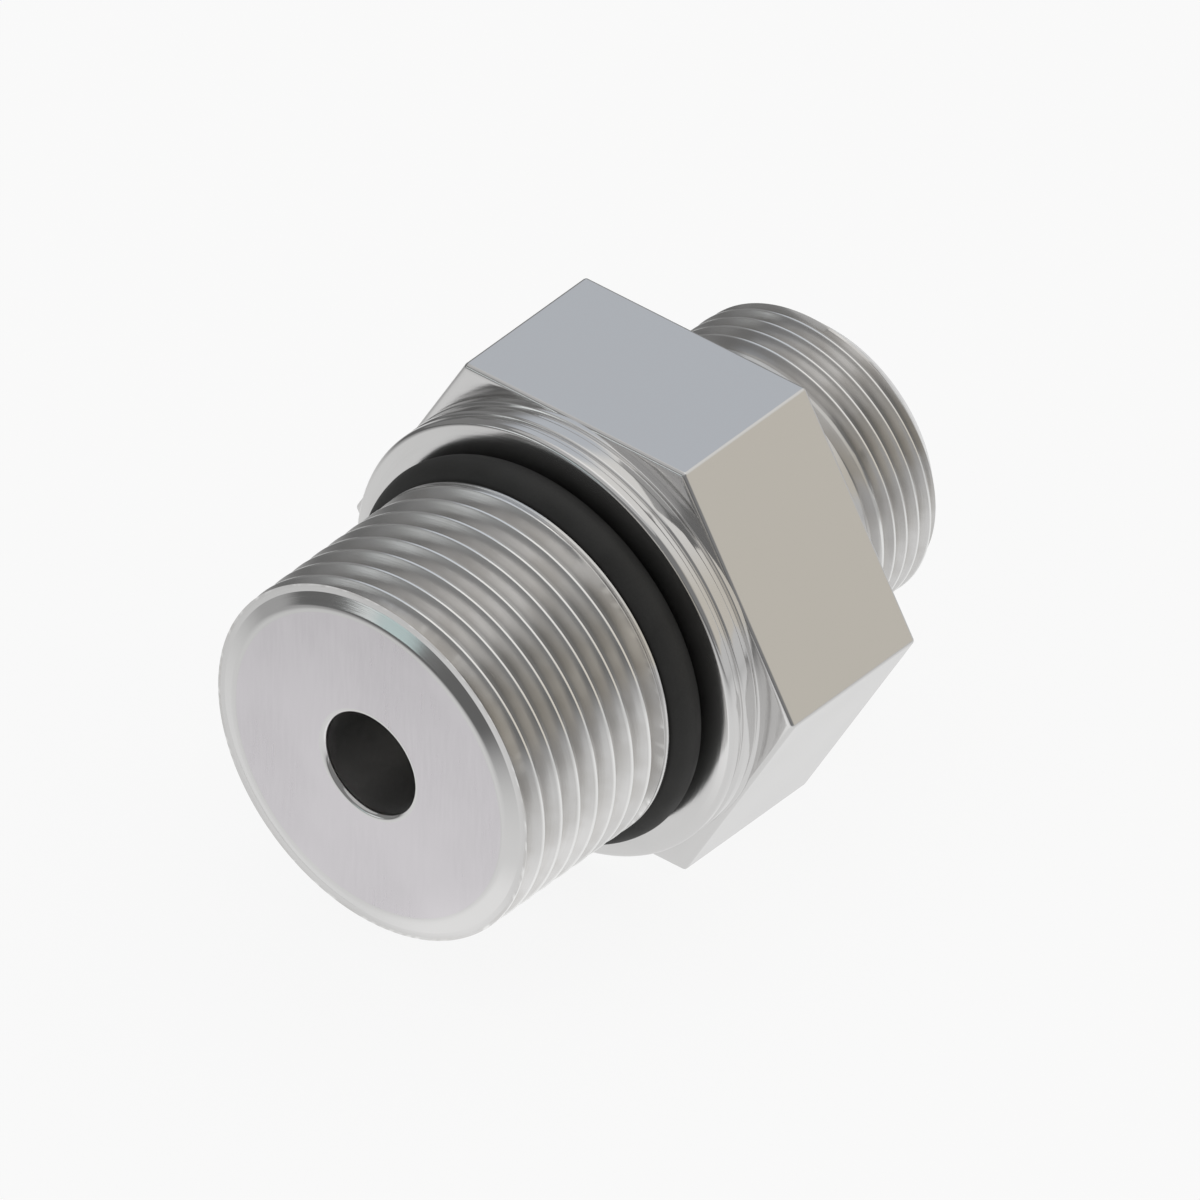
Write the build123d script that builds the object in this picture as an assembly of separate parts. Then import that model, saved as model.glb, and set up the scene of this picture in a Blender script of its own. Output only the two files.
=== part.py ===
from build123d import *
from math import radians, tan
import os

# Straight stud fitting, in millimetres.
# The fitting's axis is Y. Y = 0 is the collar's sealing face, which seats on the port.
# The stud points to -Y and the tube end to +Y. A flat of the hexagon faces up (+Z).
# Both threads stand here as plain cylinders of the thread's outside diameter.

# Stud: the thread's outside, and the low nose that leads it into the port.
stud_length = 14.8
stud_thread_diameter = 22.0
nose_height = 0.35
nose_shoulder = 0.5
nose_taper = 0.8

# O-ring, and the undercut between thread and collar that it sits in.
o_ring_inner_diameter = 19.3
o_ring_section = 2.2
o_ring_clearance = 0.04

# Collar, with the two shallow turned grooves that mark a metric stud.
collar_diameter = 26.8
collar_length = 2.6
collar_groove_depth = 0.2
marking_groove_start = 0.7
marking_groove_width = 0.45
relief_groove_width = 0.5
relief_groove_setback = 0.25

# Hexagon, across its flats and along the axis.
hexagon_across_flats = 27.0
hexagon_length = 10.4

# Tube end: neck, thread outside and the chamfer at its mouth.
tube_end_length = 11.0
tube_thread_diameter = 18.0
neck_depth = 0.6
neck_length = 4.5
tube_end_chamfer = 1.45

# Flow bore right through, and the cone and socket that take the tube.
bore_diameter = 6.3
tube_diameter = 10.0
tube_clearance = 0.05
cone_widening = 2.3
cone_half_angle = 12.0
tube_stop_depth = 7.5

# Broken edges.
collar_edge_radius = 0.3
bore_edge_radius = 0.3
hexagon_edge_radius = 0.2
neck_fillet_radius = 0.5
thread_edge_chamfer = 0.15

# Stations along the axis, worked out from the sizes above.
stud_end = -stud_length
stud_thread_start = stud_end + nose_height
nose_base_diameter = stud_thread_diameter - 2 * nose_shoulder
nose_tip_diameter = nose_base_diameter - 2 * nose_taper
seat_width = o_ring_section + 2 * o_ring_clearance
seat_diameter = o_ring_inner_diameter - 2 * o_ring_clearance
marking_groove_end = marking_groove_start + marking_groove_width
relief_groove_end = collar_length - relief_groove_setback
relief_groove_start = relief_groove_end - relief_groove_width
hexagon_end = collar_length + hexagon_length
tube_end = hexagon_end + tube_end_length
neck_end = hexagon_end + neck_length
neck_diameter = tube_thread_diameter - 2 * neck_depth
socket_diameter = tube_diameter + 2 * tube_clearance
cone_mouth_diameter = tube_diameter + cone_widening
socket_floor = tube_end - tube_stop_depth
cone_depth = (cone_mouth_diameter - socket_diameter) / 2 / tan(radians(cone_half_angle))


def turned(outline):
    """Revolve an outline of (radius, station) points about the fitting's axis."""
    return revolve(make_face(Polyline(*outline, close=True)), Axis.Y)


def rims(shape, diameter, station):
    """Return the shape's round edges of one diameter at one station."""
    near = 0.001
    found = shape.edges().filter_by(GeomType.CIRCLE)
    found = found.filter_by_position(Axis.Y, station - near, station + near)
    return found.filter_by(lambda edge: abs(2 * edge.radius - diameter) < near)


def stud_and_collar():
    """Turn the nose, the stud, the O-ring's seat and the grooved collar."""
    stud_radius = stud_thread_diameter / 2
    seat_radius = seat_diameter / 2
    collar_radius = collar_diameter / 2
    groove_radius = collar_radius - collar_groove_depth
    blank = turned(
        [
            (0, stud_end),
            (nose_tip_diameter / 2, stud_end),
            (nose_base_diameter / 2, stud_thread_start),
            (stud_radius, stud_thread_start),
            (stud_radius, -seat_width),
            (seat_radius, -seat_width),
            (seat_radius, 0),
            (collar_radius, 0),
            (collar_radius, marking_groove_start),
            (groove_radius, marking_groove_start),
            (groove_radius, marking_groove_end),
            (collar_radius, marking_groove_end),
            (collar_radius, relief_groove_start),
            (groove_radius, relief_groove_start),
            (groove_radius, relief_groove_end),
            (collar_radius, relief_groove_end),
            (collar_radius, collar_length),
            (0, collar_length),
        ]
    )
    blank = fillet(rims(blank, collar_diameter, 0), collar_edge_radius)
    thread_rims = rims(blank, stud_thread_diameter, stud_thread_start)
    thread_rims += rims(blank, stud_thread_diameter, -seat_width)
    return chamfer(thread_rims, thread_edge_chamfer)


def hexagon():
    """Make the spanner hexagon, with its sharp corners and ends just broken."""
    start = Plane(origin=(0, collar_length, 0), x_dir=(1, 0, 0), z_dir=(0, 1, 0))
    section = start * RegularPolygon(hexagon_across_flats / 2, 6, major_radius=False)
    prism = extrude(section, hexagon_length)
    return fillet(prism.edges(), hexagon_edge_radius)


def tube_end_blank():
    """Turn the neck, the tube end's thread outside and its end chamfer."""
    neck_radius = neck_diameter / 2
    thread_radius = tube_thread_diameter / 2
    return turned(
        [
            (0, collar_length),
            (neck_radius, collar_length),
            (neck_radius, neck_end),
            (thread_radius, neck_end + neck_depth),
            (thread_radius, tube_end - tube_end_chamfer),
            (thread_radius - tube_end_chamfer, tube_end),
            (0, tube_end),
        ]
    )


def flow_path():
    """Turn the hollow: flow bore, tube stop, tube socket and cone mouth."""
    bore_radius = bore_diameter / 2
    socket_radius = socket_diameter / 2
    return turned(
        [
            (0, stud_end),
            (bore_radius, stud_end),
            (bore_radius, socket_floor),
            (socket_radius, socket_floor),
            (socket_radius, tube_end - cone_depth),
            (cone_mouth_diameter / 2, tube_end),
            (0, tube_end),
        ]
    )


def fitting_body():
    """Join the turned blank and the hexagon, then bore them through."""
    solid = stud_and_collar() + hexagon() + tube_end_blank()
    solid = fillet(rims(solid, neck_diameter, hexagon_end), neck_fillet_radius)
    solid = solid - flow_path()
    return fillet(rims(solid, bore_diameter, stud_end), bore_edge_radius)


def o_ring():
    """Make the O-ring, centred in its seat against the collar."""
    ring_radius = (o_ring_inner_diameter + o_ring_section) / 2
    middle = Plane(origin=(0, -seat_width / 2, 0), x_dir=(1, 0, 0), z_dir=(0, 1, 0))
    return middle * Torus(ring_radius, o_ring_section / 2)


os.makedirs("parts", exist_ok=True)
export_step(fitting_body(), "parts/fitting_body.step")
export_step(o_ring(), "parts/o_ring.step")
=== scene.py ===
"""Straight stud fitting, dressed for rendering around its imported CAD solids.

The fitting lies on a flat of its hexagon. Its axis is Y, with the stud towards -Y and the tube
end towards +Y, and the collar's sealing face is at Y = 0. Sizes are in millimetres and are
turned into metres where a mesh, a light or the camera is made. An angle about the axis starts at
+Z and turns towards +X, which is right-handed about +Y.
"""

from __future__ import annotations

import logging
import math
from dataclasses import dataclass, field
from enum import Enum

import bmesh
import bpy
import numpy as np
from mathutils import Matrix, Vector

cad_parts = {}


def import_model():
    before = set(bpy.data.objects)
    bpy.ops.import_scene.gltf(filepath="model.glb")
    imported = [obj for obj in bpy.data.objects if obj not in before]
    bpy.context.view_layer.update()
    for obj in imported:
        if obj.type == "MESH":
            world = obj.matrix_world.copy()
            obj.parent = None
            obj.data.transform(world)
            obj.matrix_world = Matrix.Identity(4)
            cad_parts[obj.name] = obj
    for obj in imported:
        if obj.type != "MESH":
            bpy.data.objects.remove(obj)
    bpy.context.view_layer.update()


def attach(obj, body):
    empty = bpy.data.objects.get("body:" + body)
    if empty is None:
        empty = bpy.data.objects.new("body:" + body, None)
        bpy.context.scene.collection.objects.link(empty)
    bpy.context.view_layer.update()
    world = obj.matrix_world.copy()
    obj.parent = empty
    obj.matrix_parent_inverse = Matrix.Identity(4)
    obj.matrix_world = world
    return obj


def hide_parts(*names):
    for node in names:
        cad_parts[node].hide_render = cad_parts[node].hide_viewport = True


LOG = logging.getLogger("stud_fitting")
MM = 0.001
BODY = "root"
HEX_SIDES = 6
HEX_SIDE = 2 * math.pi / HEX_SIDES

Colour = tuple[float, float, float]


# shader nodes


class Graph:
    """Adds nodes to one material's or world's node tree."""

    def __init__(self, tree: bpy.types.NodeTree) -> None:
        """Take a node tree and empty it."""
        self.tree = tree
        self.tree.nodes.clear()

    def node(
        self, kind: str, settings: dict | None = None, inputs: dict | None = None
    ) -> bpy.types.Node:
        """Add one node, with its settings first and its sockets after them.

        Args:
            kind: The node's type name.
            settings: Properties of the node by name, such as a Math node's operation.
            inputs: Values or links of its input sockets, by socket name or number.

        Returns:
            The new node.
        """
        made = self.tree.nodes.new(kind)
        for key, value in (settings or {}).items():
            setattr(made, key, value)
        for key, value in (inputs or {}).items():
            socket = made.inputs[key]
            if isinstance(value, Field):
                self.tree.links.new(value.socket, socket)
            elif isinstance(value, bpy.types.NodeSocket):
                self.tree.links.new(value, socket)
            else:
                socket.default_value = value
        return made

    def field(self, made: bpy.types.Node, output: str | int = 0) -> Field:
        """Wrap one output socket of a node as a value for expressions."""
        return Field(self, made.outputs[output])

    def noise(self, inputs: dict, settings: dict | None = None, spread: float = 0.2) -> Field:
        """Add soft noise that reaches 0 and 1 at the given spread from its middle, 0.5."""
        made = self.node("ShaderNodeTexNoise", settings, inputs)
        return self.field(made).ease(0.5 - spread, 0.5 + spread)

    def bump(self, height: Field, depth: float, strength: float) -> bpy.types.NodeSocket:
        """Turn a height into a normal. A height of 1 stands for the depth, in millimetres."""
        inputs = {"Strength": strength, "Distance": depth * MM, "Height": height}
        return self.node("ShaderNodeBump", None, inputs).outputs[0]


class Field:
    """A value that varies over a surface. Arithmetic on it adds Math nodes."""

    def __init__(self, graph: Graph, socket: bpy.types.NodeSocket) -> None:
        """Hold a node's output, and the graph that new Math nodes go into."""
        self.graph = graph
        self.socket = socket

    def math(self, operation: str, *others: Field | float) -> Field:
        """Add a Math node.

        Args:
            operation: The Math node's operation.
            others: What goes into its second and third input.

        Returns:
            The node's result.
        """
        inputs = dict(enumerate((self, *others)))
        return self.graph.field(
            self.graph.node("ShaderNodeMath", {"operation": operation}, inputs)
        )

    def _reflected(self, operation: str, left: float) -> Field:
        """Add a Math node with a plain number on the left of the sign."""
        made = self.graph.node("ShaderNodeMath", {"operation": operation}, {0: left, 1: self})
        return self.graph.field(made)

    def __add__(self, other: Field | float) -> Field:
        """Add two values."""
        return self.math("ADD", other)

    def __radd__(self, other: float) -> Field:
        """Add a number and this value."""
        return self.math("ADD", other)

    def __sub__(self, other: Field | float) -> Field:
        """Take a value from this one."""
        return self.math("SUBTRACT", other)

    def __rsub__(self, other: float) -> Field:
        """Take this value from a number."""
        return self._reflected("SUBTRACT", other)

    def __mul__(self, other: Field | float) -> Field:
        """Multiply two values."""
        return self.math("MULTIPLY", other)

    def __rmul__(self, other: float) -> Field:
        """Multiply a number by this value."""
        return self.math("MULTIPLY", other)

    def __truediv__(self, other: Field | float) -> Field:
        """Divide this value by another."""
        return self.math("DIVIDE", other)

    def __pow__(self, power: float) -> Field:
        """Raise this value to a power."""
        return self.math("POWER", power)

    def ease(self, low: float, high: float) -> Field:
        """Go smoothly from 0 at one value to 1 at another.

        Args:
            low: Value at which the result is 0.
            high: Value at which the result is 1.

        Returns:
            The eased value.
        """
        made = self.graph.node(
            "ShaderNodeMapRange",
            {"interpolation_type": "SMOOTHSTEP"},
            {"Value": self, "From Min": low, "From Max": high},
        )
        return self.graph.field(made)

    def blend(
        self, start: Colour | bpy.types.NodeSocket, end: Colour
    ) -> bpy.types.NodeSocket:
        """Mix two colours by this value.

        Args:
            start: Colour, or a link to one, where the value is 0.
            end: Colour where the value is 1.

        Returns:
            The mixed colour's socket.
        """
        linked = isinstance(start, bpy.types.NodeSocket)
        made = self.graph.node(
            "ShaderNodeMix",
            {"data_type": "RGBA"},
            {"Factor": self, 6: start if linked else (*start, 1.0), 7: (*end, 1.0)},
        )
        return made.outputs[2]


# finishes


class Grain(Enum):
    """Which way the tool marks of a metal surface run."""

    TURNED = "round the axis, from the lathe"
    DRAWN = "along the axis, from drawing the bar"
    BRUSHED = "up and down, from a belt"


@dataclass(frozen=True)
class SteelFinish:
    """Stainless steel with fine tool marks.

    Attributes:
        name: Name of the material.
        grain: Direction of the marks.
        colour: Colour of the clean metal.
        shade: Colour where it is dulled by handling and tool marks, and where painted shade
        darkens a thread's roots.
        roughness: Middle roughness.
        swing: How far the roughness varies with the marks.
        marks_per_mm: How close the marks lie.
        mark_height: Height of the marks, in millimetres.
        edge_polish: How much smoother rubbed edges and crests are.
        edge_wear_and_highlight_colour: Colour of rubbed edges and crests; where it is brighter
        than the clean metal, as on the threads, it is a painted highlight.
        patches_per_metre: How close the handling patches lie.
        root_shade_radius: Radius below which a thread's roots get painted shade, in millimetres,
            or 0 for none.
        root_shade_depth: Depth under that radius at which the painted shade is full, in
            millimetres.
        PATCH_DULLING: Share of the dulling that the patches give.
        MARK_DULLING: Share of the dulling that the marks give.
        ROOT_SHADE_SHARE: Share of the darkening that the painted shade at a groove's depth
            gives.
        PATCH_SWING: How far the roughness varies with the patches.
        BUMP_STRENGTH: Share of the marks' height that shows.
        ALONG_PER_MM: How often a straight mark changes along its run.
        ALONG_RADIUS: How often a turned mark changes along its run, in one radius.
    """

    name: str
    grain: Grain
    colour: Colour = (0.72, 0.715, 0.71)
    shade: Colour = (0.63, 0.625, 0.62)
    roughness: float = 0.19
    swing: float = 0.05
    marks_per_mm: float = 9.0
    mark_height: float = 0.0012
    edge_polish: float = 0.08
    edge_wear_and_highlight_colour: Colour = (0.72, 0.715, 0.71)
    patches_per_metre: float = 160.0
    root_shade_radius: float = 0.0
    root_shade_depth: float = 1.0

    PATCH_DULLING = 0.35
    MARK_DULLING = 0.15
    ROOT_SHADE_SHARE = 0.5
    PATCH_SWING = 0.04
    BUMP_STRENGTH = 0.6
    ALONG_PER_MM = 0.35
    ALONG_RADIUS = 1.6

    def material(self) -> bpy.types.Material:
        """Make the material.

        Returns:
            A new material with the marks in its colour, roughness and bump.
        """
        made = bpy.data.materials.new(self.name)
        made.use_nodes = True
        graph = Graph(made.node_tree)
        place = graph.node("ShaderNodeTexCoord").outputs["Object"]
        split = graph.node("ShaderNodeSeparateXYZ", None, {0: place})
        x, y, z = (graph.field(split, axis) / MM for axis in "XYZ")
        radius = (x * x + z * z) ** 0.5
        marks = self._marks(graph, x, y, z, radius)
        patches = graph.noise({"Vector": place, "Scale": self.patches_per_metre})
        # Mask of rubbed edges and thread crests; on the crests it also carries a painted
        # highlight.
        wear_and_highlight = graph.field(
            graph.node("ShaderNodeAttribute", {"attribute_name": "edge"}), "Fac"
        )
        dull_and_root_shade = patches * self.PATCH_DULLING + marks * self.MARK_DULLING
        # Painted shade: the deeper into a thread's groove, the darker the steel.
        if self.root_shade_radius:
            root_shade = (self.root_shade_radius - radius).ease(0.0, self.root_shade_depth)
            dull_and_root_shade = dull_and_root_shade + root_shade * self.ROOT_SHADE_SHARE
        steel = dull_and_root_shade.ease(0.0, 1.0).blend(self.colour, self.shade)
        roughness = (
            (marks - 0.5) * self.swing
            + (patches - 0.5) * self.PATCH_SWING
            + self.roughness
            - wear_and_highlight * self.edge_polish
        )
        shader = graph.node(
            "ShaderNodeBsdfPrincipled",
            None,
            {
                # Rubbed edges and crests take their own colour; on the threads it is brighter, a
                # painted highlight along the crests.
                "Base Color": wear_and_highlight.blend(steel, self.edge_wear_and_highlight_colour),
                "Metallic": 1.0,
                "Roughness": roughness,
                "Normal": graph.bump(marks, self.mark_height, self.BUMP_STRENGTH),
            },
        )
        graph.node("ShaderNodeOutputMaterial", None, {"Surface": shader.outputs[0]})
        return made

    def _marks(self, graph: Graph, x: Field, y: Field, z: Field, radius: Field) -> Field:
        """Make the tool marks.

        Args:
            graph: The material's graph.
            x: Place across the axis, in millimetres.
            y: Place along the axis, in millimetres.
            z: Height over the axis, in millimetres.
            radius: Distance from the axis, in millimetres.

        Returns:
            Fine streaks from 0 to 1.
        """
        close, long, turned = self.marks_per_mm, self.ALONG_PER_MM, self.ALONG_RADIUS
        if self.grain is Grain.TURNED:
            parts = {"X": radius * close, "Y": y * close, "Z": x / radius * turned}
            depth = z / radius * turned
        elif self.grain is Grain.DRAWN:
            parts = {"X": x * close, "Y": y * long, "Z": z * close}
            depth = y * long
        else:
            parts = {"X": x * close, "Y": y * close, "Z": z * long}
            depth = z * long
        vector = graph.node("ShaderNodeCombineXYZ", None, parts)
        inputs = {
            "Vector": vector.outputs[0],
            "W": depth,
            "Scale": 1.0,
            "Detail": 3.0,
            "Roughness": 0.65,
        }
        return graph.noise(inputs, {"noise_dimensions": "4D"}, 0.25)


@dataclass(frozen=True)
class RubberFinish:
    """Moulded black rubber with a fine matte skin.

    Attributes:
        name: Name of the material.
        colour: Colour of the clean rubber.
        bloom: Colour of the faint dusty bloom on it.
        roughness: Middle roughness.
        skin_height: Height of the skin's grain, in millimetres.
        GRAIN_PER_METRE: How close the skin's grain lies.
        CLOUDS_PER_METRE: How close the clouds of bloom lie.
        GRAIN_SHARE: Share of the bloom that follows the grain and not the clouds.
        CLOUD_SWING: How far the roughness varies with the clouds.
        BUMP_STRENGTH: Share of the grain's height that shows.
    """

    name: str = "rubber_moulded"
    colour: Colour = (0.030, 0.030, 0.029)
    bloom: Colour = (0.046, 0.046, 0.045)
    roughness: float = 0.62
    skin_height: float = 0.004

    GRAIN_PER_METRE = 9000.0
    CLOUDS_PER_METRE = 420.0
    GRAIN_SHARE = 0.2
    CLOUD_SWING = 0.12
    BUMP_STRENGTH = 0.35

    def material(self) -> bpy.types.Material:
        """Make the material.

        Returns:
            A new material with grain and bloom.
        """
        made = bpy.data.materials.new(self.name)
        made.use_nodes = True
        graph = Graph(made.node_tree)
        place = graph.node("ShaderNodeTexCoord").outputs["Object"]
        grain = graph.noise({"Vector": place, "Scale": self.GRAIN_PER_METRE})
        cloud = graph.noise({"Vector": place, "Scale": self.CLOUDS_PER_METRE, "Detail": 3.0})
        bloom = cloud * (1.0 - self.GRAIN_SHARE) + grain * self.GRAIN_SHARE
        shader = graph.node(
            "ShaderNodeBsdfPrincipled",
            None,
            {
                "Base Color": bloom.blend(self.colour, self.bloom),
                "Roughness": (cloud - 0.5) * self.CLOUD_SWING + self.roughness,
                "Specular IOR Level": 0.4,
                "Normal": graph.bump(grain, self.skin_height, self.BUMP_STRENGTH),
            },
        )
        graph.node("ShaderNodeOutputMaterial", None, {"Surface": shader.outputs[0]})
        return made


# lathe work


@dataclass(frozen=True)
class Corner:
    """One corner of a turned outline.

    Attributes:
        radius: Distance from the axis, in millimetres.
        station: Place along the axis, in millimetres.
        rounding: Radius that breaks the corner, in millimetres.
    """

    radius: float
    station: float
    rounding: float = 0.0


@dataclass
class Ring:
    """One closed line of points round the axis.

    Attributes:
        radius: Distance from the axis at each angle, in millimetres.
        station: Place along the axis at each angle, in millimetres.
        finish: Number of the finish between the ring before and this one.
        edge: How rubbed the metal is there, from 0 to 1; on thread crests it also places a
        painted highlight.
    """

    radius: np.ndarray
    station: np.ndarray
    finish: int
    edge: float = 0.0


class Lathe:
    """Collects rings along a closed outline and weaves them into one mesh.

    Attributes:
        angles: Angles of the points of every ring, in radians.
        rings: The rings so far.
        ARC_STEPS: Steps round a broken corner.
        SHARP_FROM: Angle between faces from which their edge is shaded sharp, in radians.
        WELD: Distance under which points are welded, in millimetres.
    """

    ARC_STEPS = 5
    SHARP_FROM = math.radians(38)
    WELD = 0.0002

    def __init__(self, angles: np.ndarray) -> None:
        """Start with no rings. The angles run from 0 to a full turn, in radians."""
        self.angles = angles
        self.rings: list[Ring] = []

    def add(
        self,
        radius: np.ndarray | float,
        station: np.ndarray | float,
        finish: int,
        edge: float = 0.0,
    ) -> None:
        """Add one ring, whose radius and station are one value or one for each angle."""
        even = np.ones_like(self.angles)
        self.rings.append(Ring(even * radius, even * station, finish, edge))

    def turn(self, corners: list[Corner], finish: int) -> None:
        """Add rings along an outline with its corners broken.

        Args:
            corners: The outline. Its first and last corners are only touched, not rounded.
            finish: Number of the finish.
        """
        self.add(corners[0].radius, corners[0].station, finish)
        for before, corner, after in zip(corners, corners[1:], corners[2:]):
            for point in self._rounded(before, corner, after):
                self.add(*point, finish, 1.0 if corner.rounding else 0.0)
        self.add(corners[-1].radius, corners[-1].station, finish)

    def _rounded(
        self, before: Corner, corner: Corner, after: Corner
    ) -> list[tuple[float, float]]:
        """Break one corner.

        Args:
            before: The corner before it.
            corner: The corner to break.
            after: The corner after it.

        Returns:
            Radius and station of the points that take the corner's place.
        """
        here = Vector((corner.radius, corner.station))
        if not corner.rounding:
            return [tuple(here)]
        back = (Vector((before.radius, before.station)) - here).normalized()
        ahead = (Vector((after.radius, after.station)) - here).normalized()
        half = back.angle(ahead) / 2
        reach = corner.rounding / math.tan(half)
        middle = here + (back + ahead).normalized() * (corner.rounding / math.sin(half))
        first, last = here + back * reach - middle, here + ahead * reach - middle
        points = []
        for step in range(self.ARC_STEPS + 1):
            spoke = first.lerp(last, step / self.ARC_STEPS).normalized()
            points.append(tuple(middle + spoke * corner.rounding))
        return points

    def weave(self, name: str) -> bpy.types.Object:
        """Join the rings into a closed mesh and weld what coincides.

        Args:
            name: Name of the new object.

        Returns:
            The object, with one float per point named edge.
        """
        work = bmesh.new()
        wear_and_highlight = work.verts.layers.float.new("edge")
        sine, cosine = np.sin(self.angles), np.cos(self.angles)
        lines = []
        for ring in self.rings:
            line = []
            for x, y, z in zip(ring.radius * sine, ring.station, ring.radius * cosine):
                point = work.verts.new((x * MM, y * MM, z * MM))
                point[wear_and_highlight] = ring.edge
                line.append(point)
            lines.append(line)
        lines.append(lines[0])
        finishes = [ring.finish for ring in self.rings[1:]] + [self.rings[0].finish]
        for line, following, finish in zip(lines, lines[1:], finishes):
            for i in range(len(self.angles) - 1):
                face = work.faces.new(
                    (line[i], line[i + 1], following[i + 1], following[i])
                )
                face.material_index = finish
                face.smooth = True
        bmesh.ops.remove_doubles(work, verts=work.verts, dist=self.WELD * MM)
        bmesh.ops.dissolve_degenerate(work, edges=work.edges, dist=self.WELD * MM / 2)
        bmesh.ops.recalc_face_normals(work, faces=work.faces)
        for edge in work.edges:
            edge.smooth = edge.calc_face_angle(0.0) < self.SHARP_FROM
        mesh = bpy.data.meshes.new(name)
        work.to_mesh(mesh)
        work.free()
        made = bpy.data.objects.new(name, mesh)
        bpy.context.scene.collection.objects.link(made)
        made.modifiers.new("even_shading", "WEIGHTED_NORMAL").keep_sharp = True
        return made


def ring_angles(steps: int, corner_halves: tuple[float, ...] = ()) -> np.ndarray:
    """Spread angles round a turn, closer at the hexagon's corners.

    Args:
        steps: How many even steps make a turn.
        corner_halves: Angles to add on each side of every corner, in degrees.

    Returns:
        The angles from 0 to a full turn, in radians.
    """
    digits = 6
    angles = {round(i * 360 / steps, digits) for i in range(steps + 1)}
    for side in range(HEX_SIDES):
        corner = (side + 0.5) * 360 / HEX_SIDES
        for half in corner_halves:
            angles |= {round(corner - half, digits), round(corner + half, digits)}
    return np.radians(np.array(sorted(angles)))


@dataclass(frozen=True)
class Thread:
    """A right-hand external thread with 60 degree flanks.

    Attributes:
        outside: Radius over the crests, in millimetres.
        pitch: Distance from crest to crest, in millimetres.
        depth: Depth from crest to root, in millimetres.
        crest: Half the width of the flat crest, in millimetres.
        groove_station: Where a groove's middle is at angle 0, in millimetres.
        start_wall: How steeply the metal falls from the blank's first end, or None if the
            thread runs out there.
        end_wall: The same at the blank's last end.
        FLANK: How steeply a flank rises along the axis.
        EDGE_SOFTNESS: How softly a flank meets the blank, in millimetres.
        PHASES: Places of the rings in one pitch, from groove to groove.
        CREST_PHASE: Place of the crest's middle in the pitch.
        WEAR_AND_HIGHLIGHT_REACH: How far from the crest's middle the wear and the painted
            highlight end, in pitches.
        WEAR_AND_HIGHLIGHT_FADE: How much of that reach they take to fade, in pitches.
    """

    outside: float
    pitch: float
    depth: float
    crest: float
    groove_station: float
    start_wall: float | None = None
    end_wall: float | None = None

    FLANK = math.tan(math.radians(60))
    EDGE_SOFTNESS = 0.028
    PHASES = (0.0, 0.06, 0.14, 0.29, 0.42, 0.44, 0.46, 0.5, 0.54, 0.56, 0.58, 0.71, 0.86, 0.94)
    CREST_PHASE = 0.5
    WEAR_AND_HIGHLIGHT_REACH = 0.08
    WEAR_AND_HIGHLIGHT_FADE = 0.04

    def radius(self, station: np.ndarray, angle: np.ndarray, blank: Blank) -> np.ndarray:
        """Cut the thread into a blank.

        Args:
            station: Places along the axis, in millimetres.
            angle: Angles about the axis, in radians.
            blank: The blank.

        Returns:
            The radius that is left at each place.
        """
        turn = angle / (2 * math.pi)
        count = np.round((station - self.groove_station) / self.pitch - turn)
        across = station - self.groove_station - (count + turn) * self.pitch
        reach = self.FLANK * (self.pitch / 2 - self.crest)
        softness = (reach**2 - self.depth**2) / (2 * self.depth)
        cut = self.outside - self.depth - softness
        cut = cut + np.sqrt((self.FLANK * across) ** 2 + softness**2)
        if self.start_wall is not None:
            cut = np.maximum(cut, self.outside - self.start_wall * (station - blank.start))
        if self.end_wall is not None:
            cut = np.maximum(cut, self.outside - self.end_wall * (blank.end - station))
        whole = blank.radius(station)
        share = np.clip(0.5 + 0.5 * (cut - whole) / self.EDGE_SOFTNESS, 0, 1)
        return cut + (whole - cut) * share - self.EDGE_SOFTNESS * share * (1 - share)

    def cut(self, lathe: Lathe, blank: Blank, finish: int) -> None:
        """Add the thread's rings, which follow the helix between two flat ends.

        Args:
            lathe: The lathe that takes the rings.
            blank: The blank that the thread is cut into.
            finish: Number of the finish.
        """
        turn = lathe.angles / (2 * math.pi)
        start, end = blank.start, blank.end
        first = math.floor((start - self.groove_station) / self.pitch) - 1
        last = math.ceil((end - self.groove_station) / self.pitch)
        for count in range(first, last + 1):
            for phase in self.PHASES:
                off_crest = abs(phase - self.CREST_PHASE)
                # The crest's middle gets wear and a painted highlight.
                wear_and_highlight = min(max((self.WEAR_AND_HIGHLIGHT_REACH - off_crest) / self.WEAR_AND_HIGHLIGHT_FADE, 0.0), 1.0)
                station = self.groove_station + (count + phase + turn) * self.pitch
                station = np.clip(station, start, end)
                radius = self.radius(station, lathe.angles, blank)
                lathe.add(radius, station, finish, wear_and_highlight)


@dataclass(frozen=True)
class Blank:
    """What a thread is cut into: a bar with a chamfer at each end.

    Attributes:
        outside: The bar's radius, in millimetres.
        start: Station of its first end, in millimetres.
        end: Station of its last end, in millimetres.
        start_chamfer: How far the radius falls at the first end, in millimetres.
        end_chamfer: How far the radius falls at the last end, in millimetres.
    """

    outside: float
    start: float
    end: float
    start_chamfer: float = 0.0
    end_chamfer: float = 0.0

    def radius(self, station: np.ndarray) -> np.ndarray:
        """Give the blank's radius.

        Args:
            station: Places along the axis, in millimetres.

        Returns:
            The radius at each place, with 45 degree chamfers at the ends.
        """
        start = self.outside - self.start_chamfer + (station - self.start)
        end = self.outside - self.end_chamfer + (self.end - station)
        return np.minimum(self.outside, np.minimum(start, end))


# the fitting


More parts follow.
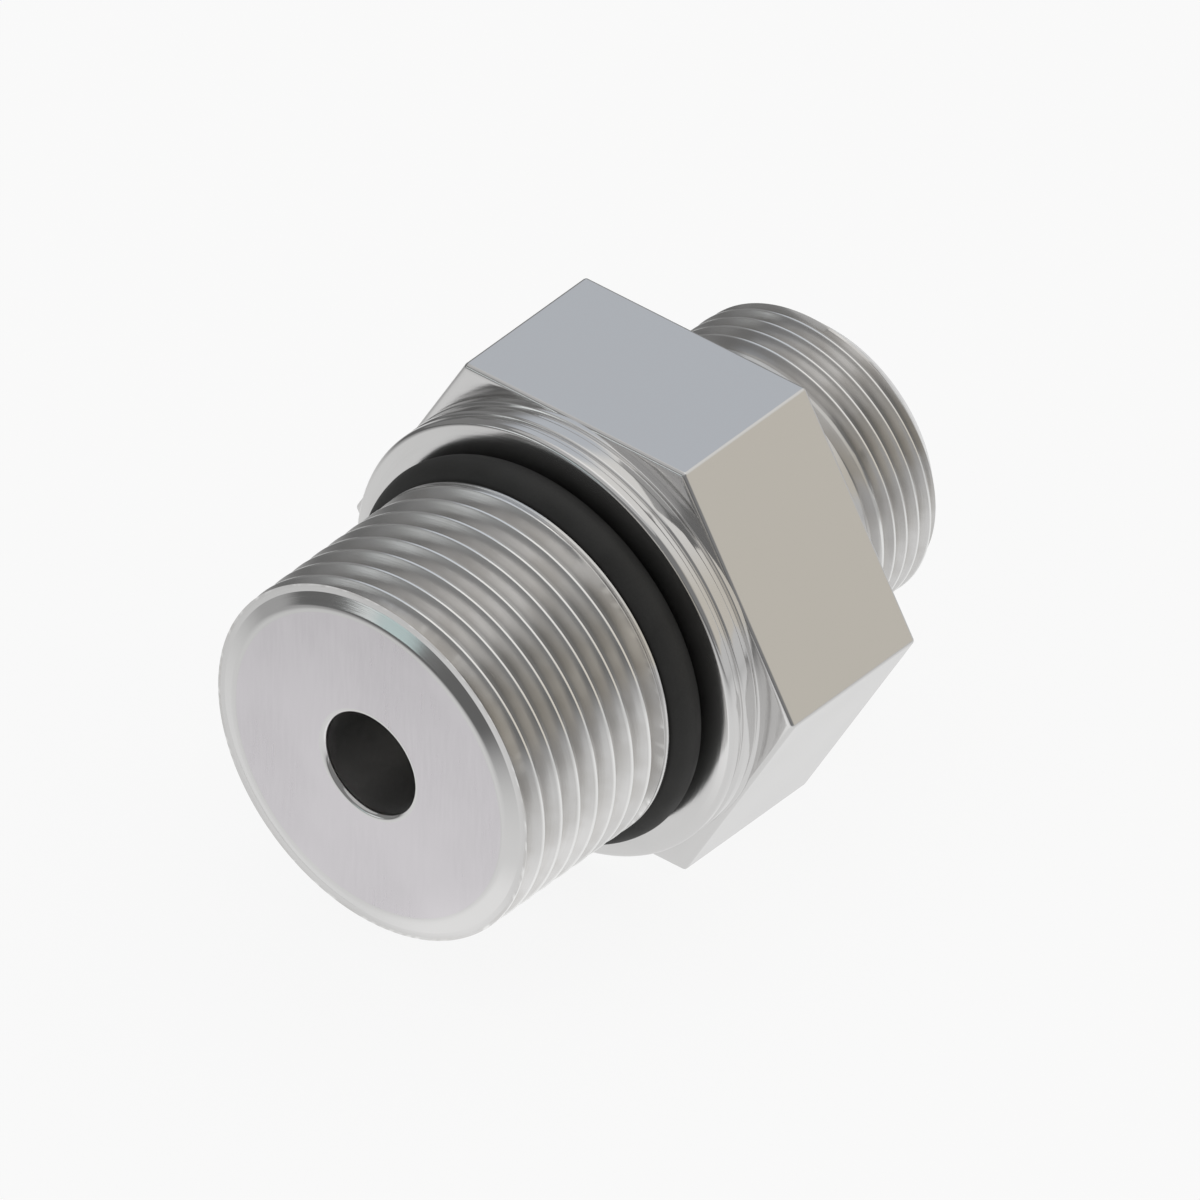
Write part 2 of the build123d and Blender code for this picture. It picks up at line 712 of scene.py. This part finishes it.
@dataclass
class FittingBody:
    """The turned, threaded and bored body with its spanner hexagon.

    Attributes:
        stud_length: From the collar's face to the stud's end.
        stud_radius: Outside radius of the stud's thread.
        nose_height: Height of the low nose over the thread's first face.
        nose_base: Radius of the nose at its base.
        nose_tip: Radius of the nose at the end face.
        nose_rounding: Radius that breaks the nose's tip.
        nose_foot: Radius that breaks the nose's foot.
        rim_rounding: Radius that breaks the bore's rim in the end face.
        rim_margin: Width of the turned band of end face round that rim.
        faced_margin: Width of the turned band of end face inside the nose's tip.
        step_margin: Width of the outer band of the step behind the nose.
        seam: Width of the narrow band where one stretch of the outline joins the next.
        thread_end: Station where the stud's thread ends.
        closing_groove: Station of the narrow groove beside the closing ring.
        closing_depth: Depth of that groove, at its middle.
        closing_half: Half the width of that groove.
        closing_softness: Radius that breaks that groove's edges.
        seat_bevel: Size of the bevel between the closing ring and the undercut.
        seat_softness: Radius that breaks the edges of that bevel.
        ring_seat_width: Width of the O-ring's undercut.
        ring_seat_radius: Radius at the bottom of the undercut.
        inner_rounding: Radius in the corners of the undercut and the socket.
        stud_face_end: How far inside the collar's edge the stud's outline ends on its face.
        collar_face_start: How far inside that edge the collar's outline starts.
        collar_radius: Radius of the collar.
        collar_length: Length of the collar.
        collar_rounding: Radius that breaks the collar's edge at the O-ring.
        groove_depth: Depth of the collar's two grooves.
        groove_slope: Width of the sloping side of a groove.
        groove_softness: Radius that breaks a groove's outer edges.
        groove_corner: Radius in a groove's inner corners.
        last_edge: Radius that breaks the second groove's edge at the hexagon.
        marking_groove: Start and end of the first groove.
        relief_groove: Start and end of the second groove.
        hex_inradius: Half the hexagon's size across its flats.
        hex_length: Length of the hexagon.
        hex_rounding: Radius that breaks the hexagon's edges.
        hex_margin: Width of a band inside that rounding, which keeps the end face flat-lit.
        hex_steps: Steps round the hexagon's broken edges.
        tube_end_length: From the hexagon to the tube end's face.
        tube_radius: Outside radius of the tube end's thread.
        neck_radius: Radius of the neck.
        neck_length: Length of the neck.
        neck_fillet: Radius between the neck and the hexagon's end face.
        neck_margin: Width of the band of end face round the neck, with its fillet.
        end_chamfer: Size of the tube end's chamfer.
        plain_chamfer: How much of that chamfer is past the thread's end.
        tip_rounding: Radius that breaks the tube end's rims.
        bore_radius: Radius of the flow bore.
        bore_end: How far from the rounding of its rim the bored finish ends.
        socket_radius: Radius of the tube's socket.
        socket_depth: Depth of the socket's floor from the end face.
        mouth_radius: Radius of the cone's mouth.
        mouth_depth: Depth in the mouth at which its turned band ends.
        mouth_fall: How far the radius has fallen there.
        cone_start: Depth in the mouth at which the bored cone starts.
        cone_rounding: Radius between the cone and the socket.
        cone_slope: How far the cone's radius falls for each millimetre along it.
        finishes: The steel finishes, in the order of their numbers.
    """

    stud_length: float = 14.8
    stud_radius: float = 11.0
    nose_height: float = 0.35
    nose_base: float = 10.5
    nose_tip: float = 9.7
    nose_rounding: float = 0.8
    nose_foot: float = 0.025
    rim_rounding: float = 0.3
    rim_margin: float = 0.05
    faced_margin: float = 0.3
    step_margin: float = 0.2
    seam: float = 0.02
    thread_end: float = -2.85
    closing_groove: float = -2.69
    closing_depth: float = 0.26
    closing_half: float = 0.1
    closing_softness: float = 0.03
    seat_bevel: float = 0.13
    seat_softness: float = 0.05
    ring_seat_width: float = 2.28
    ring_seat_radius: float = 9.61
    inner_rounding: float = 0.15
    stud_face_end: float = 1.0
    collar_face_start: float = 0.9
    collar_radius: float = 13.4
    collar_length: float = 2.6
    collar_rounding: float = 0.3
    groove_depth: float = 0.2
    groove_slope: float = 0.08
    groove_softness: float = 0.16
    groove_corner: float = 0.05
    last_edge: float = 0.08
    marking_groove: tuple[float, float] = (0.7, 1.15)
    relief_groove: tuple[float, float] = (1.85, 2.35)
    hex_inradius: float = 13.5
    hex_length: float = 10.4
    hex_rounding: float = 0.25
    hex_margin: float = 0.2
    hex_steps: int = 5
    tube_end_length: float = 11.0
    tube_radius: float = 9.0
    neck_radius: float = 8.4
    neck_length: float = 4.5
    neck_fillet: float = 0.5
    neck_margin: float = 1.2
    end_chamfer: float = 1.45
    plain_chamfer: float = 0.8
    tip_rounding: float = 0.12
    bore_radius: float = 3.15
    bore_end: float = 0.03
    socket_radius: float = 5.05
    socket_depth: float = 7.5
    mouth_radius: float = 6.15
    mouth_depth: float = 0.5
    mouth_fall: float = 0.1
    cone_start: float = 0.6
    cone_rounding: float = 0.1
    cone_slope: float = math.tan(math.radians(12))
    finishes: tuple[SteelFinish, ...] = field(
        default_factory=lambda: (
            SteelFinish("steel_turned", Grain.TURNED),
            SteelFinish("steel_drawn", Grain.DRAWN, roughness=0.22, marks_per_mm=7.0),
            SteelFinish(
                "steel_faced",
                Grain.BRUSHED,
                colour=(0.735, 0.71, 0.735),
                shade=(0.66, 0.635, 0.66),
                roughness=0.24,
                marks_per_mm=6.0,
                mark_height=0.0006,
            ),
            SteelFinish(
                "steel_stud_thread",
                Grain.TURNED,
                # Darker shade than the plain steel: partly a duller finish, partly painted shade
                # of the thread's grooves.
                shade=(0.59, 0.575, 0.555),
                # Brighter crests: wear, and a painted highlight of the crest lines.
                edge_wear_and_highlight_colour=(0.9, 0.9, 0.89),
                patches_per_metre=480.0,
                roughness=0.23,
                marks_per_mm=12.0,
                # Painted shade in the thread's roots, below this radius.
                root_shade_radius=10.9,
                root_shade_depth=0.9,
            ),
            SteelFinish(
                "steel_tube_thread",
                Grain.TURNED,
                # Darker shade than the plain steel: partly a duller finish, partly painted shade
                # of the thread's grooves.
                shade=(0.57, 0.555, 0.535),
                edge_wear_and_highlight_colour=(0.9, 0.9, 0.89),
                patches_per_metre=480.0,
                # Brighter crests: wear, and a painted highlight of the crest lines.
                roughness=0.23,
                marks_per_mm=12.0,
                # Painted shade in the thread's roots, below this radius.
                root_shade_radius=8.95,
                root_shade_depth=0.6,
            ),
            SteelFinish(
                "steel_bored",
                Grain.TURNED,
                shade=(0.6, 0.59, 0.58),
                roughness=0.42,
                marks_per_mm=6.0,
            ),
        )
    )

    TURNED, DRAWN, FACED, STUD_THREAD, TUBE_THREAD, BORED = range(6)
    EVEN_STEPS = 216
    CORNER_HALVES = (0.23, 0.46)

    def build(self) -> bpy.types.Object:
        """Turn, thread and bore the body.

        Returns:
            The body's object.
        """
        lathe = Lathe(ring_angles(self.EVEN_STEPS, self.CORNER_HALVES))
        self._nose(lathe)
        self._stud(lathe)
        self._collar(lathe)
        self._hexagon(lathe)
        self._tube_end(lathe)
        self._bore(lathe)
        return lathe.weave("fitting_body_steel")

    def dress(self, piece: bpy.types.Object) -> None:
        """Give the body its finishes and its place in the frame.

        Args:
            piece: The body's object.
        """
        for finish in self.finishes:
            piece.data.materials.append(finish.material())
        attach(piece, BODY)
        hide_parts("fitting_body")

    def _nose(self, lathe: Lathe) -> None:
        """Turn the bore's rim, the end face and the low nose.

        Args:
            lathe: The lathe that takes the rings.
        """
        end = -self.stud_length
        base = end + self.nose_height
        rim = self.rim_rounding
        faced = self.nose_tip - self.faced_margin
        lathe.turn(
            [
                Corner(self.bore_radius, end + rim + self.seam),
                Corner(self.bore_radius, end, rim),
                Corner(self.bore_radius + rim + self.rim_margin, end),
            ],
            self.TURNED,
        )
        lathe.add(faced, end, self.FACED)
        lathe.turn(
            [
                Corner(faced + self.seam, end),
                Corner(self.nose_tip, end, self.nose_rounding),
                Corner(self.nose_base, base, self.nose_foot),
                Corner(self.stud_radius - self.step_margin, base),
            ],
            self.TURNED,
        )

    def _stud(self, lathe: Lathe) -> None:
        """Cut the stud's thread, its closing ring and the O-ring's undercut.

        Args:
            lathe: The lathe that takes the rings.
        """
        start = self.nose_height - self.stud_length
        blank = Blank(self.stud_radius, start, self.thread_end, start_chamfer=0.04)
        thread = Thread(
            outside=self.stud_radius,
            pitch=1.5,
            depth=0.92,
            crest=0.06,
            groove_station=-14.14,
            start_wall=3.2,
            end_wall=3.2,
        )
        thread.cut(lathe, blank, self.STUD_THREAD)
        seat = -self.ring_seat_width
        outer, groove = self.stud_radius, self.closing_groove
        lathe.turn(
            [
                Corner(outer, self.thread_end),
                Corner(outer, groove - self.closing_half, self.closing_softness),
                Corner(outer - self.closing_depth, groove),
                Corner(outer, groove + self.closing_half, self.closing_softness),
                Corner(outer, seat - self.seat_bevel, self.seat_softness),
                Corner(outer - self.seat_bevel, seat, self.seat_softness),
                Corner(self.ring_seat_radius, seat, self.inner_rounding),
                Corner(self.ring_seat_radius, 0, self.inner_rounding),
                Corner(self.collar_radius - self.stud_face_end, 0),
            ],
            self.TURNED,
        )

    def _collar(self, lathe: Lathe) -> None:
        """Turn the collar with its two shallow grooves.

        Args:
            lathe: The lathe that takes the rings.
        """
        outer, inner = self.collar_radius, self.collar_radius - self.groove_depth
        face_start = outer - self.collar_face_start
        corners = [Corner(face_start, 0), Corner(outer, 0, self.collar_rounding)]
        for groove in (self.marking_groove, self.relief_groove):
            start, end = groove
            last = self.last_edge if groove is self.relief_groove else self.groove_softness
            corners += [
                Corner(outer, start, self.groove_softness),
                Corner(inner, start + self.groove_slope, self.groove_corner),
                Corner(inner, end - self.groove_slope, self.groove_corner),
                Corner(outer, end, last),
            ]
        corners.append(Corner(outer, self.collar_length - self.seam))
        lathe.turn(corners, self.TURNED)

    def _hexagon(self, lathe: Lathe) -> None:
        """Shape the hexagon between its two end faces.

        Args:
            lathe: The lathe that takes the rings.
        """
        start = self.collar_length
        end = start + self.hex_length
        arc = np.linspace(0, math.pi / 2, self.hex_steps + 1)
        insets = self.hex_rounding * (1 - np.sin(arc))
        insets = np.append(self.hex_rounding + self.hex_margin, insets)
        least = self._least_inset(lathe.angles)
        for inset in insets:
            bounded = np.minimum(inset, least)
            station = start + self._edge_height(bounded)
            radius = self._hex_radius(lathe.angles, bounded)
            if inset == insets[0]:
                lathe.add(self.collar_radius, station, self.TURNED)
            finish = self.DRAWN if inset < insets[1] else self.TURNED
            lathe.add(radius, station, finish, 1.0)
        for inset in insets[::-1]:
            radius = self._hex_radius(lathe.angles, np.full_like(lathe.angles, inset))
            lathe.add(radius, end - self._edge_height(inset), self.DRAWN, 1.0)

    def _edge_height(self, inset: np.ndarray) -> np.ndarray:
        """Give how far from the end face its rounded edge lies where it is set in."""
        drop = np.maximum(self.hex_rounding - inset, 0)
        return self.hex_rounding - np.sqrt(np.maximum(self.hex_rounding**2 - drop**2, 0))

    def _least_inset(self, angles: np.ndarray) -> np.ndarray:
        """Find how far in the rounded edge may go at each angle before it meets the collar."""
        return self.hex_inradius - self.collar_radius * np.cos(self._off_flat(angles))

    @staticmethod
    def _off_flat(angles: np.ndarray) -> np.ndarray:
        """Give how far each angle is from the middle of its flat, in radians."""
        return np.abs((angles + HEX_SIDE / 2) % HEX_SIDE - HEX_SIDE / 2)

    def _hex_radius(self, angles: np.ndarray, inset: np.ndarray) -> np.ndarray:
        """Give the radius of the hexagon, set in and with rounded corners.

        Args:
            angles: Angles about the axis, in radians.
            inset: How far the outline is set in at each angle, in millimetres.

        Returns:
            The radius at each angle, in millimetres.
        """
        off, half = self._off_flat(angles), HEX_SIDE / 2
        flat = self.hex_inradius - inset
        corner = np.maximum(self.hex_rounding - inset, 0)
        centre = (flat - corner) / math.cos(half)
        across = centre * np.sin(half - off)
        bulge = np.sqrt(np.maximum(corner**2 - across**2, 0))
        arc = centre * np.cos(half - off) + bulge
        tangent = np.arctan((flat - corner) * math.tan(half) / flat)
        return np.where(off > tangent, arc, flat / np.cos(off))

    def _tube_end(self, lathe: Lathe) -> None:
        """Turn the neck, cut the tube end's thread and chamfer its end.

        Args:
            lathe: The lathe that takes the rings.
        """
        start = self.collar_length + self.hex_length
        end = start + self.tube_end_length
        neck_end = start + self.neck_length
        thread_end = end - self.plain_chamfer
        lathe.turn(
            [
                Corner(self.neck_radius + self.neck_margin, start),
                Corner(self.neck_radius, start, self.neck_fillet),
                Corner(self.neck_radius, neck_end),
            ],
            self.TURNED,
        )
        blank = Blank(
            self.tube_radius,
            neck_end,
            thread_end,
            start_chamfer=self.tube_radius - self.neck_radius,
            end_chamfer=self.end_chamfer - self.plain_chamfer,
        )
        thread = Thread(
            outside=self.tube_radius, pitch=1.0, depth=0.61, crest=0.045, groove_station=17.34
        )
        thread.cut(lathe, blank, self.TUBE_THREAD)
        tip = self.tube_radius - self.end_chamfer
        lathe.turn(
            [
                Corner(tip + self.plain_chamfer, thread_end),
                Corner(tip, end, self.tip_rounding),
                Corner(self.mouth_radius, end, self.tip_rounding),
                Corner(self.mouth_radius - self.mouth_fall, end - self.mouth_depth),
            ],
            self.TURNED,
        )

    def _bore(self, lathe: Lathe) -> None:
        """Turn the cone, the tube's socket and the flow bore.

        Args:
            lathe: The lathe that takes the rings.
        """
        end = self.collar_length + self.hex_length + self.tube_end_length
        slope = self.cone_slope
        floor = end - self.socket_depth
        cone_end = end - (self.mouth_radius - self.socket_radius) / slope
        lathe.turn(
            [
                Corner(self.mouth_radius - self.cone_start * slope, end - self.cone_start),
                Corner(self.socket_radius, cone_end, self.cone_rounding),
                Corner(self.socket_radius, floor, self.inner_rounding),
                Corner(self.bore_radius, floor, self.inner_rounding),
                Corner(
                    self.bore_radius, self.rim_rounding + self.bore_end - self.stud_length
                ),
            ],
            self.BORED,
        )


@dataclass
class SealRing:
    """The O-ring in its undercut, with the fine line its mould leaves.

    Attributes:
        ring_radius: From the axis to the middle of the cord.
        cord_radius: Radius of the cord.
        station: Where the cord's middle lies on the axis.
        line_height: How far the mould line stands proud.
        line_width: Half the mould line's width, as a share of the cord's radius.
        steps_round: Points round the axis.
        steps_cord: Points round the cord.
        finish: The rubber.
    """

    ring_radius: float = 10.75
    cord_radius: float = 1.1
    station: float = -1.14
    line_height: float = 0.012
    line_width: float = 0.06
    steps_round: int = 240
    steps_cord: int = 64
    finish: RubberFinish = field(default_factory=RubberFinish)

    def build(self) -> bpy.types.Object:
        """Mould the ring.

        Returns:
            The ring's object.
        """
        lathe = Lathe(ring_angles(self.steps_round))
        for step in range(self.steps_cord):
            angle = 2 * math.pi * step / self.steps_cord
            line = self.line_height * math.exp(-((math.sin(angle) / self.line_width) ** 2))
            reach = self.cord_radius + line
            lathe.add(
                self.ring_radius + reach * math.cos(angle),
                self.station + reach * math.sin(angle),
                0,
            )
        return lathe.weave("o_ring_rubber")

    def dress(self, piece: bpy.types.Object) -> None:
        """Give the ring its rubber and its place in the frame.

        Args:
            piece: The ring's object.
        """
        piece.data.materials.append(self.finish.material())
        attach(piece, BODY)
        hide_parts("o_ring")


# the studio


@dataclass(frozen=True)
class SoftLamp:
    """A large soft lamp that faces the fitting.

    Attributes:
        name: Name of the lamp.
        azimuth: Where it stands, in degrees, 0 on the side of -Y and 90 on the side of +X.
        elevation: How high it stands, in degrees.
        distance: From the fitting, in metres.
        width: Diameter of its round panel, in metres.
        radiance: How bright its panel is, where 1 renders white.
    """

    name: str
    azimuth: float
    elevation: float
    distance: float
    width: float
    radiance: float

    def build(self) -> bpy.types.Object:
        """Set up the lamp.

        Returns:
            The lamp's object.
        """
        data = bpy.data.lights.new(self.name, "AREA")
        data.shape = "DISK"
        data.size = self.width
        area = math.pi * self.width**2 / 4
        data.energy = self.radiance * math.pi * area
        made = bpy.data.objects.new(self.name, data)
        towards = direction(self.azimuth, self.elevation)
        made.location = towards * self.distance
        made.rotation_mode = "QUATERNION"
        made.rotation_quaternion = towards.to_track_quat("Z", "Y")
        made.visible_camera = False
        bpy.context.scene.collection.objects.link(made)
        return made


def direction(azimuth: float, elevation: float) -> Vector:
    """Give the direction towards a place round the fitting.

    Args:
        azimuth: Degrees from -Y towards +X.
        elevation: Degrees over the horizon.

    Returns:
        The unit vector.
    """
    turn, rise = math.radians(azimuth), math.radians(elevation)
    flat = math.cos(rise)
    return Vector((math.sin(turn) * flat, -math.cos(turn) * flat, math.sin(rise)))


@dataclass(frozen=True)
class Glow:
    """A broad region of the studio's walls with its own brightness.

    Attributes:
        azimuth: Its middle's direction, in degrees.
        elevation: Its middle's height, in degrees.
        inner: Angle from the middle within which it is full, in degrees.
        outer: Angle at which it has faded out, in degrees.
        colour: What the walls send from there, where 1 renders white.
    """

    azimuth: float
    elevation: float
    inner: float
    outer: float
    colour: Colour


@dataclass(frozen=True)
class FloorGlow:
    """A round region of the floor that the metal sees brighter.

    Attributes:
        centre: Its middle, in metres.
        inner: Distance from the middle within which it is full, in metres.
        outer: Distance at which it has faded out, in metres.
        level: How bright it is, where 1 renders white.
    """

    centre: tuple[float, float]
    inner: float
    outer: float
    level: float

    def field(self, graph: Graph, place: bpy.types.NodeSocket, height: float) -> Field:
        """Give its brightness over the floor.

        Args:
            graph: The floor's graph.
            place: Object coordinates.
            height: Height of the floor, in metres.

        Returns:
            Its level, falling to 0 away from its middle.
        """
        apart = graph.node(
            "ShaderNodeVectorMath",
            {"operation": "DISTANCE"},
            {0: place, 1: (*self.centre, height)},
        )
        faded = graph.field(apart, "Value").ease(self.inner, self.outer)
        return (1.0 - faded) * self.level


@dataclass
class Studio:
    """Plain pale floor, soft walls and lamps.

    Attributes:
        floor_height: Height of the floor, in millimetres.
        floor_half: Half the floor's size, in metres.
        floor_colour: Matte colour of the floor.
        camera_glow: Share of glow, and not of lit matte floor, in what the camera sees.
        mirrored_glow: The same share in what the metal mirrors.
        floor_base: Brightness of the floor in the metal where nothing glows.
        floor_front: Glow round the fitting.
        floor_left: Glow to the left of the picture.
        floor_near: Glow close under the stud's end, added to the others.
        side_azimuth: Direction in which the floor's far side glows, in degrees.
        side_reach: Distances at which that side starts to glow and is full, in metres.
        side_level: Brightness of that side.
        walls: Brightness of the walls where nothing glows.
        glows: Broad regions of the walls that differ.
        lamps: The soft lamps.
    """

    floor_height: float = -13.52
    floor_half: float = 1.5
    floor_colour: Colour = (0.9, 0.9, 0.9)
    camera_glow: float = 0.9
    mirrored_glow: float = 0.96
    floor_base: float = 0.14
    floor_front: FloorGlow = FloorGlow((0.003, 0.008), 0.03, 0.12, 0.7)
    floor_left: FloorGlow = FloorGlow((-0.07, -0.05), 0.02, 0.07, 0.294)
    floor_near: FloorGlow = FloorGlow((0.007, -0.017), 0.004, 0.011, 0.16)
    side_azimuth: float = 128.0
    side_reach: tuple[float, float] = (0.03, 0.09)
    side_level: float = 0.504
    walls: Colour = (0.24, 0.24, 0.24)
    glows: tuple[Glow, ...] = (
        Glow(128, 6, 14, 58, (0.66, 0.625, 0.56)),
        Glow(172, 54, 14, 52, (0.82, 0.81, 0.79)),
        Glow(-142, 37, 8, 24, (0.57, 0.60, 0.645)),
        Glow(-37, 4, 8, 12, (0.96, 1.0, 1.0)),
        Glow(-23, 4, 4, 9, (0.66, 0.80, 0.80)),
    )
    lamps: tuple[SoftLamp, ...] = (SoftLamp("top_lamp", -30, 74, 0.4, 0.66, 0.3),)

    def build(self) -> None:
        """Set up the floor, the walls and the lamps."""
        self._floor()
        self._walls()
        for lamp in self.lamps:
            lamp.build()

    def _floor(self) -> None:
        """Lay the floor, white to the camera and softly uneven in the metal."""
        work = bmesh.new()
        half = self.floor_half
        height = self.floor_height * MM
        work.faces.new(
            [
                work.verts.new((x * half, y * half, height))
                for x, y in ((-1, -1), (1, -1), (1, 1), (-1, 1))
            ]
        )
        mesh = bpy.data.meshes.new("floor")
        work.to_mesh(mesh)
        work.free()
        floor = bpy.data.objects.new("floor", mesh)
        bpy.context.scene.collection.objects.link(floor)
        mesh.materials.append(self._floor_material())

    def _floor_material(self) -> bpy.types.Material:
        """Make the floor's material.

        Returns:
            A pale matte surface that takes the fitting's shadow, and is white to the camera
            and softly uneven in what the metal mirrors.
        """
        made = bpy.data.materials.new("floor_pale")
        made.use_nodes = True
        graph = Graph(made.node_tree)
        path = graph.node("ShaderNodeLightPath")
        camera = graph.field(path, "Is Camera Ray")
        mirrored = (
            graph.field(path, "Is Glossy Ray") + graph.field(path, "Is Transmission Ray")
        ).math("MINIMUM", 1.0)
        glow = self._floor_glow(graph)
        matte = graph.node(
            "ShaderNodeBsdfDiffuse", None, {"Color": (*self.floor_colour, 1.0)}
        )
        light = graph.node(
            "ShaderNodeEmission", None, {"Color": camera + (1.0 - camera) * glow}
        )
        share = camera * self.camera_glow + mirrored * self.mirrored_glow
        mixed = graph.node(
            "ShaderNodeMixShader", None, {0: share, 1: matte.outputs[0], 2: light.outputs[0]}
        )
        graph.node("ShaderNodeOutputMaterial", None, {"Surface": mixed.outputs[0]})
        return made

    def _floor_glow(self, graph: Graph) -> Field:
        """Give the floor's brightness in the metal.

        Args:
            graph: The floor's graph.

        Returns:
            The brightness over the floor.
        """
        place = graph.node("ShaderNodeTexCoord").outputs["Object"]
        height = self.floor_height * MM
        front, left, near = (
            glow.field(graph, place, height)
            for glow in (self.floor_front, self.floor_left, self.floor_near)
        )
        aside = graph.node(
            "ShaderNodeVectorMath",
            {"operation": "DOT_PRODUCT"},
            {0: place, 1: direction(self.side_azimuth, 0)},
        )
        side = graph.field(aside, "Value").ease(*self.side_reach) * self.side_level
        return front.math("MAXIMUM", side).math("MAXIMUM", left) + near + self.floor_base

    def _walls(self) -> None:
        """Light the walls: white to the camera, softly uneven to the fitting."""
        world = bpy.data.worlds.new("studio_walls")
        world.use_nodes = True
        bpy.context.scene.world = world
        graph = Graph(world.node_tree)
        camera = graph.field(graph.node("ShaderNodeLightPath"), "Is Camera Ray")
        towards = graph.node("ShaderNodeTexCoord").outputs["Generated"]
        tint: Colour | bpy.types.NodeSocket = self.walls
        for glow in self.glows:
            facing = graph.node(
                "ShaderNodeVectorMath",
                {"operation": "DOT_PRODUCT"},
                {0: towards, 1: direction(glow.azimuth, glow.elevation)},
            )
            outer, inner = (
                math.cos(math.radians(angle)) for angle in (glow.outer, glow.inner)
            )
            tint = graph.field(facing, "Value").ease(outer, inner).blend(tint, glow.colour)
        back = graph.node(
            "ShaderNodeBackground", None, {"Color": camera.blend(tint, (1.0, 1.0, 1.0))}
        )
        graph.node("ShaderNodeOutputWorld", None, {"Surface": back.outputs[0]})


@dataclass(frozen=True)
class StillCamera:
    """The photograph's camera, which sees without perspective.

    Attributes:
        azimuth: Where it stands, in degrees.
        elevation: How high it stands, in degrees.
        target: Point in the middle of the picture, in millimetres.
        width: Width of the picture at the fitting, in millimetres.
        distance: From the target, in metres.
        clip: Nearest and farthest distance that it sees, in metres.
    """

    azimuth: float = 40.0
    elevation: float = 37.0
    target: tuple[float, float, float] = (0.031, 4.77, -0.0265)
    width: float = 65.29
    distance: float = 0.3
    clip: tuple[float, float] = (0.01, 10.0)

    def build(self) -> None:
        """Set the camera up as the scene's own."""
        data = bpy.data.cameras.new("still_camera")
        data.type = "ORTHO"
        data.ortho_scale = self.width * MM
        data.clip_start, data.clip_end = self.clip
        made = bpy.data.objects.new("still_camera", data)
        back = direction(self.azimuth, self.elevation)
        made.location = Vector(self.target) * MM + back * self.distance
        made.rotation_mode = "QUATERNION"
        made.rotation_quaternion = (-back).to_track_quat("-Z", "Y")
        bpy.context.scene.collection.objects.link(made)
        bpy.context.scene.camera = made


def main() -> None:
    """Build the fitting, the studio and the camera, and report each piece."""
    logging.basicConfig(level=logging.INFO, format="%(name)s: %(message)s")
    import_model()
    bpy.context.scene.view_settings.view_transform = "Standard"
    for maker in (FittingBody(), SealRing()):
        piece = maker.build()
        maker.dress(piece)
        LOG.info("%s: %d faces", piece.name, len(piece.data.polygons))
    Studio().build()
    StillCamera().build()


if __name__ == "__main__":
    main()
